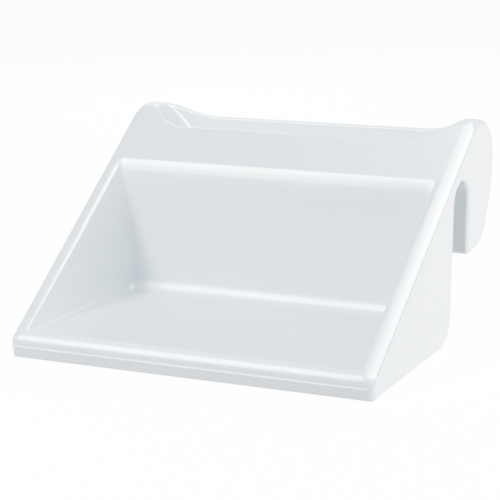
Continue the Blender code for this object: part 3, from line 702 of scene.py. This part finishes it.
class Finish:
    """A material with a Principled shader and a few short ways to add nodes to it."""

    def __init__(self, name, roughness, metallic=0.0, specular=0.5):
        self.material = bpy.data.materials.new(name)
        self.material.use_nodes = True
        self.tree = self.material.node_tree
        self.shader = self.tree.nodes["Principled BSDF"]
        self.shader.inputs["Roughness"].default_value = roughness
        self.shader.inputs["Metallic"].default_value = metallic
        self.shader.inputs["Specular IOR Level"].default_value = specular
        self.place = self.tree.nodes.new("ShaderNodeTexCoord").outputs["Object"]

    def feed(self, socket, value):
        """Links a socket to another node's output, or sets it to a value."""
        if isinstance(value, bpy.types.NodeSocket):
            self.tree.links.new(value, socket)
        else:
            socket.default_value = value

    def node(self, kind, **sockets):
        """A new node, whose sockets are fed by keyword."""
        node = self.tree.nodes.new(kind)
        for name, value in sockets.items():
            self.feed(node.inputs[name.replace("_", " ")], value)
        return node

    def noise(self, scale, detail=2.0, roughness=0.5):
        kind = "ShaderNodeTexNoise"
        node = self.node(kind, Vector=self.place, Scale=scale, Detail=detail, Roughness=roughness)
        return node.outputs["Fac"]

    def spread(self, value, low, high):
        """A value from 0 to 1 spread between a low and a high number."""
        node = self.node("ShaderNodeMapRange", Value=value, To_Min=low, To_Max=high)
        return node.outputs["Result"]

    def times(self, a, b):
        node = self.tree.nodes.new("ShaderNodeMath")
        node.operation = "MULTIPLY"
        self.feed(node.inputs[0], a)
        self.feed(node.inputs[1], b)
        return node.outputs["Value"]

    def colours(self, value, *stops):
        """Two colours laid along a value, each given as a position and a colour."""
        ramp = self.tree.nodes.new("ShaderNodeValToRGB")
        for element, (position, colour) in zip(ramp.color_ramp.elements, stops):
            element.position = position
            element.color = (*colour, 1.0)
        self.tree.links.new(value, ramp.inputs["Fac"])
        self.tree.links.new(ramp.outputs["Color"], self.shader.inputs["Base Color"])
        return ramp.outputs["Color"]

    def shaded(self, colour, value, shade):
        """Lets a colour run towards its product with a shade, as a value rises from 0 to 1."""
        mix = self.tree.nodes.new("ShaderNodeMix")
        mix.data_type = "RGBA"
        mix.blend_type = "MULTIPLY"
        self.tree.links.new(value, mix.inputs["Factor"])
        self.tree.links.new(colour, mix.inputs[MIX_COLOUR_A])
        mix.inputs[MIX_COLOUR_B].default_value = (*shade, 1.0)
        self.tree.links.new(mix.outputs[MIX_RESULT], self.shader.inputs["Base Color"])

    def bump(self, height, strength, distance):
        node = self.node("ShaderNodeBump", Height=height, Strength=strength, Distance=distance)
        self.tree.links.new(node.outputs["Normal"], self.shader.inputs["Normal"])

    def vary_roughness(self, value, low, high):
        self.tree.links.new(self.spread(value, low, high), self.shader.inputs["Roughness"])


print("each finish starts from a Principled shader and object coordinates")

# %% [markdown]
# The moulding's colour is a cool off-white. It is varied only a little, since a real moulding is coloured
# through. Painted shade darkens it where the value marked above is high, most in the bay and less in the
# trough, as shade in these hollows. One noise varies the gloss and a finer one makes the grain, whose
# height follows the same value.

# %% Satin polyethylene
# The colour of the painted shade, mixed in fully in the bay and partly elsewhere.
PAINTED_SHADE = (0.90, 0.91, 0.92)


def moulded_polyethylene():
    finish = Finish("moulded_polyethylene", roughness=0.31, specular=0.5)
    tint = finish.noise(scale=9.0, detail=3.0)
    skin = finish.colours(tint, (0.35, (0.750, 0.815, 0.855)), (0.65, (0.775, 0.838, 0.872)))
    grain_and_shade_node = finish.tree.nodes.new("ShaderNodeAttribute")
    grain_and_shade_node.attribute_name = "grain_and_shade"
    # Painted shade: the skin colour is darkened by the marked value, most in the bay and the trough.
    finish.shaded(skin, grain_and_shade_node.outputs["Fac"], PAINTED_SHADE)
    finish.vary_roughness(finish.noise(scale=60.0), 0.30, 0.39)
    peel = finish.times(finish.noise(scale=260.0, detail=3.0, roughness=0.6), grain_and_shade_node.outputs["Fac"])
    finish.bump(peel, strength=0.6, distance=0.0008)
    return finish.material


finish_piece("moulded_table", drilled_mesh, moulded_polyethylene(), "table_body", "root")

# %% [markdown]
# The clamp's turned pieces are all made the same way: half of the outline, spun once round its axis. The
# outline is a closed loop for a ring, or starts and ends on the axis for a solid piece. A full spin is
# told to merge, so its last step meets its first without a doubled edge.

# %% Helper for turned pieces
TURN_STEPS = 96
ROUND_STEPS = 4


def turned(name, outline, place):
    """Spins an outline of (radius, height) pairs once round the z axis, then puts it in place."""
    bm = bmesh.new()
    is_loop = outline[0] == outline[-1]
    corners = outline[:-1] if is_loop else outline
    verts = [bm.verts.new((radius, 0.0, height)) for radius, height in corners]
    pairs = list(zip(verts, verts[1:])) + ([(verts[-1], verts[0])] if is_loop else [])
    edges = [bm.edges.new(pair) for pair in pairs]
    bmesh.ops.spin(
        bm, geom=verts + edges, cent=(0.0, 0.0, 0.0), axis=(0.0, 0.0, 1.0), angle=2 * math.pi,
        steps=TURN_STEPS, use_merge=True,
    )
    bmesh.ops.remove_doubles(bm, verts=bm.verts, dist=MERGE_DISTANCE)
    bmesh.ops.transform(bm, matrix=place, verts=bm.verts)
    return mesh_from(bm, name)


def rounded(outline, radius):
    """An outline with every inner corner rounded a little, as a tool or a mould leaves it."""
    points = [np.array(point) for point in outline]
    result = [tuple(points[0])]
    for before, corner, after in zip(points, points[1:], points[2:]):
        result += [tuple(point) for point in corner_arc(before, corner, after, radius, ROUND_STEPS)]
    return result + [tuple(points[-1])]


def radius_of(node):
    low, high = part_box(node)
    return (high.x - low.x) / 2


def depths_of(node):
    """The lowest and highest place of a node along its clamp screw, from the flap's inner face."""
    low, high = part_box(node)
    face = SLOT_REAR + body_low.y
    return face - high.y, face - low.y


print("turned pieces have", TURN_STEPS, "steps")

# %% [markdown]
# Each stud is a zinc-plated steel rod with a metric thread. The thread is real geometry here: a small
# V-shaped profile is spun round the core while it climbs by one pitch a turn, which makes the helix.
# A spin with a step along its axis does this in one call.

# %% Threaded studs
PITCH = 0.0015
THREAD_RADIUS = 0.005
CORE_RADIUS = 0.0041
SPIGOT_RADIUS = 0.0032
SPIGOT_LENGTH = 0.0028
STUD_ROUND = 0.0004
THREAD_FOOT_SHARE = 0.46
THREAD_CREST_SHARE = 0.08
THREAD_STEPS = 20


def threaded_stud(side):
    low, high = depths_of("clamp_stud_" + side)
    shoulder = high - SPIGOT_LENGTH
    core = [
        (0.0, high), (SPIGOT_RADIUS, high), (SPIGOT_RADIUS, shoulder), (CORE_RADIUS, shoulder),
        (CORE_RADIUS, low), (0.0, low),
    ]
    mesh = turned("threaded_stud_" + side, rounded(core, STUD_ROUND), screw_place(side))
    bm = bmesh.new()
    bm.from_mesh(mesh)
    turns = math.floor((shoulder - low) / PITCH) - 1
    foot, crest = CORE_RADIUS - GAP / 2, THREAD_RADIUS
    section = [(foot, THREAD_FOOT_SHARE), (crest, THREAD_CREST_SHARE)]
    section += [(crest, -THREAD_CREST_SHARE), (foot, -THREAD_FOOT_SHARE)]
    verts = [bm.verts.new((radius, 0.0, low + PITCH * (0.5 + share))) for radius, share in section]
    edges = [bm.edges.new(pair) for pair in zip(verts, verts[1:] + verts[:1])]
    bm.faces.new(verts)
    helix = bmesh.ops.spin(
        bm, geom=verts + edges, cent=(0.0, 0.0, 0.0), axis=(0.0, 0.0, 1.0), angle=2 * math.pi * turns,
        dvec=(0.0, 0.0, PITCH / THREAD_STEPS), steps=turns * THREAD_STEPS,
    )
    last = [element for element in helix["geom_last"] if isinstance(element, bmesh.types.BMVert)]
    bmesh.ops.contextual_create(bm, geom=last)
    grown = [vert for vert in bm.verts if vert.index < 0 or vert.index >= len(mesh.vertices)]
    bmesh.ops.transform(bm, matrix=screw_place(side), verts=grown)
    print("the stud on the", side, "has", turns, "turns of thread")
    return mesh_from(bm, mesh.name)


def zinc_plated_steel():
    finish = Finish("zinc_plated_steel", roughness=0.28, metallic=1.0)
    cloud = finish.noise(scale=140.0, detail=4.0)
    finish.colours(cloud, (0.3, (0.56, 0.575, 0.60)), (0.7, (0.66, 0.67, 0.68)))
    finish.vary_roughness(cloud, 0.22, 0.36)
    finish.bump(finish.noise(scale=900.0), strength=0.15, distance=0.0001)
    return finish.material


zinc = zinc_plated_steel()
for side in SIDES:
    name = "threaded_stud_" + side
    finish_piece(name, threaded_stud(side), zinc, "clamp_stud_" + side, "screw_" + side)

# %% [markdown]
# A brass insert is moulded into the flap to give the stud a strong thread. Only its flange shows, behind
# the foot. Its barrel has grooves that lock it into the plastic. They are part of the turned outline,
# because that is how the real ones are cut.

# %% Brass inserts
FLANGE_RADIUS = 0.014
FLANGE_THICKNESS = 0.002
GROOVE_DEPTH = 0.0008
GROOVE_COUNT = 4


def brass_insert(side):
    low, high = depths_of("thread_insert_" + side)
    bore = THREAD_RADIUS + GAP
    face = high - FLANGE_THICKNESS
    outline = [(bore, low), (bore, high - GAP), (bore + GAP, high), (FLANGE_RADIUS - GAP, high)]
    outline += [(FLANGE_RADIUS, high - GAP), (FLANGE_RADIUS, face), (INSERT_RADIUS, face)]
    spacing = (face - low) / (2 * GROOVE_COUNT + 1)
    waist = INSERT_RADIUS - GROOVE_DEPTH
    for groove in range(GROOVE_COUNT):
        top = face - spacing * (2 * groove + 1)
        outline += [(INSERT_RADIUS, top), (waist, top - GROOVE_DEPTH)]
        outline += [(waist, top - spacing + GROOVE_DEPTH), (INSERT_RADIUS, top - spacing)]
    outline += [(INSERT_RADIUS, low), (bore, low)]
    return turned("brass_insert_" + side, outline, screw_place(side))


def turned_brass():
    finish = Finish("turned_brass", roughness=0.3, metallic=1.0)
    patina = finish.noise(scale=90.0, detail=5.0)
    finish.colours(patina, (0.3, (0.62, 0.44, 0.20)), (0.7, (0.76, 0.58, 0.30)))
    finish.vary_roughness(patina, 0.24, 0.42)
    finish.bump(finish.noise(scale=1400.0), strength=0.1, distance=0.0001)
    return finish.material


brass = turned_brass()
for side in SIDES:
    name = "brass_insert_" + side
    finish_piece(name, brass_insert(side), brass, "thread_insert_" + side, "root")

# %% [markdown]
# The swivel foot is a shallow moulded disc that turns on the stud's spigot, so that the pad doesn't grind
# on the railing while the screw is tightened. The rubber pad in front of it has a domed edge and fine
# rings that grip.

# %% Swivel feet and rubber pads
FOOT_SOCKET = SPIGOT_RADIUS + GAP
FOOT_ROUND = 0.0007
PAD_EDGE = 0.0012
PAD_EDGE_STEPS = 6
PAD_GROOVE = 0.0004
PAD_RING_COUNT = 3


def swivel_foot(side):
    low, high = depths_of("swivel_foot_" + side)
    radius = radius_of("swivel_foot_" + side)
    outline = [(0.0, high), (radius, high), (radius, low), (FOOT_SOCKET, low)]
    outline += [(FOOT_SOCKET, low + SPIGOT_LENGTH), (0.0, low + SPIGOT_LENGTH)]
    return turned("swivel_foot_disc_" + side, rounded(outline, FOOT_ROUND), screw_place(side))


def rubber_pad(side):
    low, high = depths_of("rail_pad_" + side)
    radius = radius_of("rail_pad_" + side)
    outline = [(0.0, low), (radius, low)]
    corner = [np.array(point) for point in ((radius, low), (radius, high), (0.0, high))]
    outline += [tuple(point) for point in corner_arc(*corner, PAD_EDGE, PAD_EDGE_STEPS)]
    spacing = radius / (PAD_RING_COUNT + 1)
    for ring in range(PAD_RING_COUNT, 0, -1):
        middle = spacing * ring
        outline += [(middle + PAD_GROOVE, high), (middle, high - PAD_GROOVE), (middle - PAD_GROOVE, high)]
    outline.append((0.0, high))
    return turned("rubber_pad_" + side, outline, screw_place(side))


def pad_rubber():
    finish = Finish("pad_rubber", roughness=0.78, specular=0.3)
    bloom = finish.noise(scale=220.0, detail=5.0)
    finish.colours(bloom, (0.3, (0.016, 0.016, 0.018)), (0.75, (0.034, 0.034, 0.036)))
    finish.vary_roughness(bloom, 0.66, 0.86)
    finish.bump(finish.noise(scale=2200.0), strength=0.3, distance=0.0001)
    return finish.material


def grip_plastic():
    finish = Finish("grip_plastic", roughness=0.42, specular=0.45)
    tint = finish.noise(scale=30.0, detail=3.0)
    finish.colours(tint, (0.35, (0.33, 0.36, 0.385)), (0.65, (0.36, 0.39, 0.41)))
    finish.vary_roughness(finish.noise(scale=120.0), 0.36, 0.5)
    finish.bump(finish.noise(scale=1600.0), strength=0.35, distance=0.00015)
    return finish.material


grip = grip_plastic()
rubber = pad_rubber()
for side in SIDES:
    body = "foot_" + side
    finish_piece("swivel_foot_disc_" + side, swivel_foot(side), grip, "swivel_foot_" + side, body)
    finish_piece("rubber_pad_" + side, rubber_pad(side), rubber, "rail_pad_" + side, body)

# %% [markdown]
# Each hand knob is a moulded star grip with six soft lobes. A circle is turned into the star by moving its
# points in and out along a cosine. The star is then extruded to the knob's height, its rims are bevelled,
# and its outer face is inset and sunk a little, as a mould does to keep the wall even.

# %% Hand knobs
KNOB_LOBES = 6
KNOB_POINTS = 144
KNOB_LOBE_DEPTH = 0.0036
KNOB_ROUND = 0.0025
KNOB_ROUND_STEPS = 6
HUB_RADIUS = 0.010
HUB_LENGTH = 0.006
DISH_MARGIN = 0.005
DISH_DEPTH = 0.0008
NEARLY_LEVEL = 0.99


def hand_knob(side):
    low, high = depths_of("hand_knob_" + side)
    box_low, box_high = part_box("hand_knob_" + side)
    radius = (box_high.z - box_low.z) / 2
    grip_face = high - HUB_LENGTH
    place = screw_place(side)
    bm = bmesh.new()
    bmesh.ops.create_circle(bm, cap_ends=True, segments=KNOB_POINTS, radius=1.0)
    for vert in bm.verts:
        angle = math.atan2(vert.co.y, vert.co.x)
        reach = radius - KNOB_LOBE_DEPTH * (1 + math.cos(KNOB_LOBES * angle)) / 2
        vert.co = (reach * math.cos(angle), reach * math.sin(angle), low)
    outer = list(bm.faces)
    grown = bmesh.ops.extrude_face_region(bm, geom=outer)
    upper = [element for element in grown["geom"] if isinstance(element, bmesh.types.BMVert)]
    bmesh.ops.translate(bm, verts=upper, vec=(0.0, 0.0, grip_face - low))
    bmesh.ops.recalc_face_normals(bm, faces=bm.faces)
    rims = [edge for edge in bm.edges if abs(edge.verts[0].co.z - edge.verts[1].co.z) < GAP]
    bmesh.ops.bevel(
        bm, geom=rims, offset=KNOB_ROUND, offset_type="OFFSET", segments=KNOB_ROUND_STEPS, profile=0.5,
        affect="EDGES", material=-1,
    )
    face = max((f for f in bm.faces if f.normal.z < -NEARLY_LEVEL), key=lambda f: f.calc_area())
    bmesh.ops.inset_individual(bm, faces=[face], thickness=DISH_MARGIN)
    bmesh.ops.inset_individual(bm, faces=[face], thickness=DISH_DEPTH, depth=-DISH_DEPTH)
    bmesh.ops.transform(bm, matrix=place, verts=bm.verts)
    star = mesh_from(bm, "hand_grip_" + side)
    hub = cylinder(HUB_RADIUS, grip_face - KNOB_ROUND, high, place)
    with_hub = combined(star, [hub], "UNION")
    stud_end = depths_of("clamp_stud_" + side)[0]
    bore = cylinder(THREAD_RADIUS + GAP, stud_end - GAP, high + GAP, place)
    return combined(with_hub, [bore], "DIFFERENCE")


for side in SIDES:
    name = "hand_grip_" + side
    finish_piece(name, hand_knob(side), grip, "hand_knob_" + side, "screw_" + side)

# %% [markdown]
# A small plug closes the vent in the underside, where hot air left the mould. It is turned like the clamp's
# pieces, with a flange that stays below flush so that the table still stands flat.

# %% Vent plug
PLUG_ROUND = 0.0005


def vent_plug():
    low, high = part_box("vent_plug")
    flange = radius_of("vent_plug")
    bottom, tip = low.z - body_low.z, high.z - body_low.z
    flange_top = VENT_RECESS_DEPTH - GAP
    shank = VENT_RADIUS - GAP
    outline = [(0.0, tip), (shank, tip), (shank, flange_top), (flange, flange_top)]
    outline += [(flange, bottom), (0.0, bottom)]
    return turned("vent_stopper", rounded(outline, PLUG_ROUND), vent_place())


finish_piece("vent_stopper", vent_plug(), grip, "vent_plug", "root")

# %% [markdown]
# The setting is plain: a white floor that glows, as on a photographer's light table, a little even light
# from above, and soft lamps. The glow is kept off the table by hiding the floor from diffuse rays, or it
# would wash out every shade from below. Past the floor there is a white backdrop, which only the camera
# sees. The main lamp stands to the front and left. A low one lights the right side, a weaker one fills the
# bay from the right, and one stands behind. Three more only show as sheen: they are hidden from diffuse
# rays, so they draw the bright line along the shoulder and the crest and leave the flat faces as they are.

# %% Floor and light
FLOOR_SIZE = 12.0
FLOOR_GLOW = 12.0
BACKDROP_GLOW = 10.0
SKY_LIGHT = 0.7
HORIZON_BLUR = 0.02
LAMP_COLOUR = (0.87, 0.97, 1.04)


def add_floor():
    bm = bmesh.new()
    bmesh.ops.create_grid(bm, x_segments=1, y_segments=1, size=FLOOR_SIZE)
    bmesh.ops.translate(bm, verts=bm.verts, vec=(0.0, 0.0, body_low.z - GAP))
    floor = bpy.data.objects.new("studio_floor", mesh_from(bm, "studio_floor"))
    bpy.context.scene.collection.objects.link(floor)
    finish = Finish("studio_floor", roughness=0.9, specular=0.1)
    finish.colours(finish.noise(scale=0.5), (0.0, (0.93, 0.935, 0.94)), (1.0, (0.95, 0.955, 0.96)))
    finish.shader.inputs["Emission Color"].default_value = (1.0, 1.0, 1.0, 1.0)
    finish.shader.inputs["Emission Strength"].default_value = FLOOR_GLOW
    floor.data.materials.append(finish.material)
    floor.visible_diffuse = False
    floor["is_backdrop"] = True


def add_lamp(name, place, target, size, power):
    light = bpy.data.lights.new(name, "AREA")
    light.shape = "RECTANGLE"
    light.size, light.size_y = size
    light.energy = power
    light.color = LAMP_COLOUR
    lamp = bpy.data.objects.new(name, light)
    bpy.context.scene.collection.objects.link(lamp)
    lamp.location = place
    lamp.rotation_euler = (Vector(target) - Vector(place)).to_track_quat("-Z", "Y").to_euler()
    return lamp


def add_sky():
    """An even light from above the horizon, none from under the floor, and a white backdrop to look at."""
    sky = bpy.data.worlds.new("studio_sky")
    sky.use_nodes = True
    tree = sky.node_tree
    direction = tree.nodes.new("ShaderNodeTexCoord").outputs["Generated"]
    parts = tree.nodes.new("ShaderNodeSeparateXYZ")
    above = tree.nodes.new("ShaderNodeMapRange")
    above.inputs["From Min"].default_value = -HORIZON_BLUR
    above.inputs["From Max"].default_value = HORIZON_BLUR
    above.inputs["To Max"].default_value = SKY_LIGHT
    seen = tree.nodes.new("ShaderNodeLightPath").outputs["Is Camera Ray"]
    strength = tree.nodes.new("ShaderNodeMath")
    strength.operation = "MULTIPLY_ADD"
    strength.inputs[1].default_value = BACKDROP_GLOW
    background = tree.nodes["Background"]
    background.inputs["Color"].default_value = (*LAMP_COLOUR, 1.0)
    tree.links.new(direction, parts.inputs["Vector"])
    tree.links.new(parts.outputs["Z"], above.inputs["Value"])
    tree.links.new(seen, strength.inputs[0])
    tree.links.new(above.outputs["Result"], strength.inputs[2])
    tree.links.new(strength.outputs["Value"], background.inputs["Strength"])
    bpy.context.scene.world = sky


add_floor()
add_sky()
add_lamp("front_softbox", (-1.3, -2.15, 1.75), (0.0, -0.1, -0.1), (0.55, 1.5), 250.0)
add_lamp("right_softbox", (2.4, -0.3, 1.8), (0.0, -0.1, -0.1), (0.8, 0.8), 60.0)
add_lamp("side_softbox", (2.2, 0.1, 0.06), (0.3, -0.1, -0.1), (1.2, 0.5), 165.0)
for lamp in (
    add_lamp("sheen_softbox", (1.9, 0.7, 1.9), (0.1, 0.0, 0.0), (1.3, 1.3), 1700.0),
    add_lamp("top_softbox", (0.7, 0.6, 2.3), (0.1, 0.0, 0.0), (2.4, 2.0), 1500.0),
    add_lamp("crest_softbox", (-1.3, -1.75, 1.85), (0.0, -0.1, 0.0), (1.4, 2.0), 1500.0),
):
    lamp.visible_diffuse = False
add_lamp("back_softbox", (-1.4, 2.4, 1.2), (0.0, 0.1, 0.0), (1.2, 0.9), 110.0)

# %% [markdown]
# The camera's place and focal length were worked out from the photograph: the straight edges of the table
# were matched to the lines in it. It is a long lens from three metres away, a little above the table and
# to its right, held very slightly turned.

# %% Camera
CAMERA_PLACE = Vector((1.25695, -2.6514, 0.5646))
CAMERA_AZIMUTH = math.radians(26.527)
CAMERA_ELEVATION = math.radians(13.338)
CAMERA_ROLL = math.radians(-1.3151)
CAMERA_LENS = 134.512
SENSOR_WIDTH = 36.0
FARTHEST_SEEN = 50.0

camera_data = bpy.data.cameras.new("photograph")
camera_data.lens = CAMERA_LENS
camera_data.sensor_width = SENSOR_WIDTH
camera_data.clip_end = FARTHEST_SEEN
camera = bpy.data.objects.new("photograph", camera_data)
bpy.context.scene.collection.objects.link(camera)
facing = Matrix.Rotation(CAMERA_AZIMUTH, 4, "Z") @ Matrix.Rotation(math.pi / 2 - CAMERA_ELEVATION, 4, "X")
camera.matrix_world = Matrix.Translation(CAMERA_PLACE) @ facing @ Matrix.Rotation(CAMERA_ROLL, 4, "Z")
bpy.context.scene.camera = camera
print("camera", round(CAMERA_PLACE.length, 2), "m from the rail seat")

# %% [markdown]
# Last, the finished table is measured against the engineering model. The two boxes should agree to within
# a fraction of a millimetre, because every piece took its size and place from the frame.

# %% Measure and finish
visual_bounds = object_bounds()
differences = [(cad - visual).length for cad, visual in zip(cad_bounds, visual_bounds)]
print("largest difference in mm:", round(1000 * max(differences), 2))
